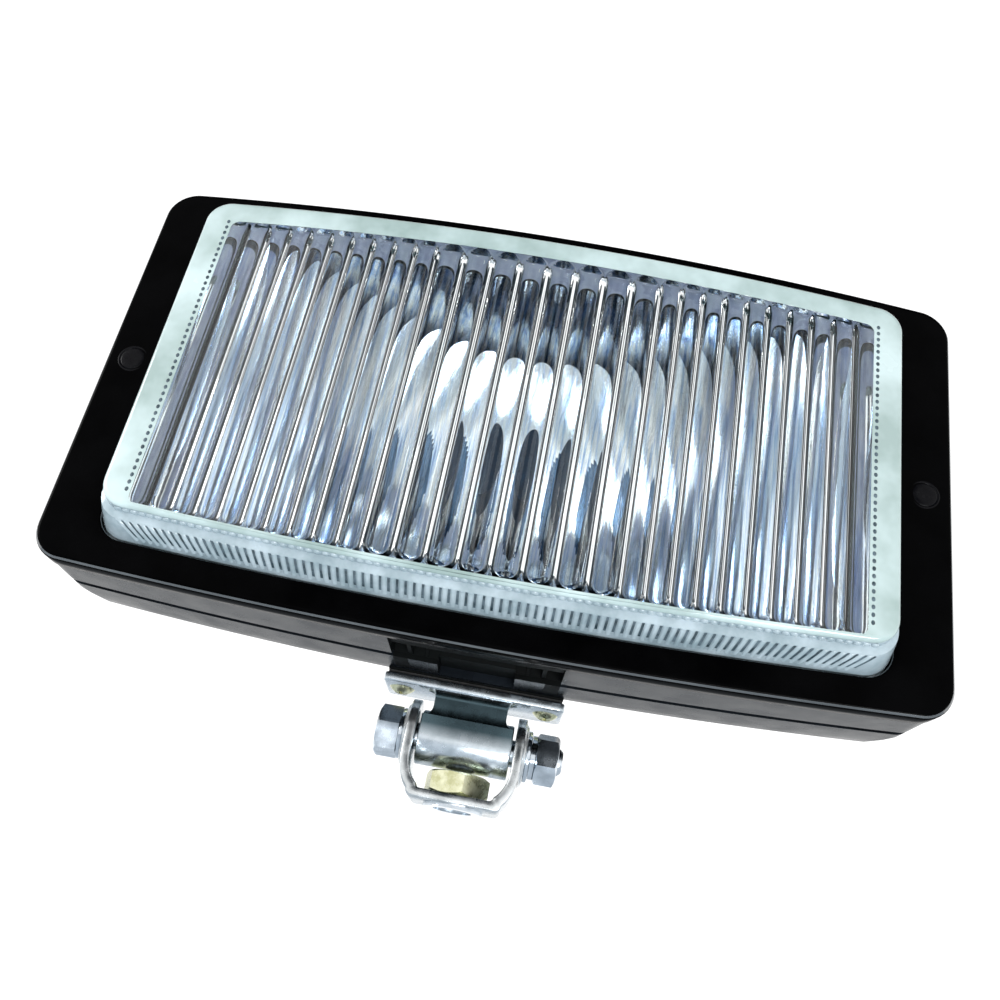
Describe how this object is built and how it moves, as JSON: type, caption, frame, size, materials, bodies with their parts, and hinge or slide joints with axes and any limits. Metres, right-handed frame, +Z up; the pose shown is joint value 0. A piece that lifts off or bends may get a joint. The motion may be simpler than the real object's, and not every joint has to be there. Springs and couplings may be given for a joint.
{
  "type": "fog light",
  "caption": "Rectangular halogen fog lamp with a fluted glass lens and a black bezel on a tilting, swivelling clevis foot.",
  "frame": {"origin": "centre of the foot washer's underside, the face that sits on the vehicle's mounting surface", "axes": "-Y out of the lens towards the road, +Z up along the foot's swivel axis, +X to the right of somebody who faces the lens"},
  "size_m": [0.187, 0.0909, 0.1288],
  "materials": {
    "zinc_steel": "bright zinc plate",
    "yellow_zinc": "yellow passivated zinc plate",
    "clevis_steel": "bright zinc plate, faintly yellow",
    "plate_steel": "zinc plated pressing",
    "rubber": "matt black",
    "housing_plastic": "satin black moulding",
    "bezel_plastic": "gloss black moulding",
    "cap_plastic": "satin black plug",
    "lens_glass": "pressed clear glass",
    "mirror": "vacuum metallised",
    "shield_paint": "dark heat-resistant paint",
    "bulb_metal": "stainless steel",
    "bulb_glass": "clear quartz glass",
    "filament": "drawn tungsten",
    "spring_wire": "bright spring wire",
    "lead_black": "black insulation",
    "sleeve_plastic": "red insulating sleeve",
    "lead_brown": "brown insulation",
    "brass": "tinned brass",
    "block_plastic": "glass-filled plastic"
  },
  "bodies": {
    "foot": {"foot_washer": "zinc_steel", "foot_nut": "yellow_zinc"},
    "clevis": {"clevis": "clevis_steel", "pivot_bolt": "zinc_steel", "pivot_washers": "zinc_steel", "pivot_spring_washer": "zinc_steel", "pivot_nut": "zinc_steel"},
    "lamp": {"mount_plate": "plate_steel", "plate_pad": "rubber", "plate_screws": "yellow_zinc", "plate_nuts": "zinc_steel", "housing": "housing_plastic", "bezel": "bezel_plastic", "bezel_screws": "zinc_steel", "screw_caps": "cap_plastic", "lens": "lens_glass", "lens_gasket": "rubber", "reflector": "mirror", "bulb_seat": "zinc_steel", "bulb_shield": "shield_paint", "bulb_base": "bulb_metal", "bulb_glass": "bulb_glass", "bulb_filament": "filament", "clip_bracket": "zinc_steel", "clip_rivets": "zinc_steel", "bulb_lead": "lead_black", "lead_sleeves": "sleeve_plastic", "earth_lead": "lead_brown", "earth_tag": "brass", "terminal_block": "block_plastic", "terminal_blades": "brass", "block_screws": "zinc_steel", "inlet_seal": "rubber"},
    "bulb_clip": {"bulb_clip": "spring_wire"}
  },
  "joints": [
    {"name": "foot_swivel", "type": "hinge", "parent": "foot", "child": "clevis", "pos_m": [0, 0, 0], "axis": [0, 0, 1], "continuous": true},
    {"name": "lamp_tilt", "type": "hinge", "parent": "clevis", "child": "lamp", "pos_m": [0, 0, 0.0144], "axis": [1, 0, 0], "range_deg": [-30, 30]},
    {"name": "clip_swing", "type": "hinge", "parent": "lamp", "child": "bulb_clip", "pos_m": [0, 0.027, 0.0903], "axis": [1, 0, 0], "range_deg": [0, 14]}
  ]
}
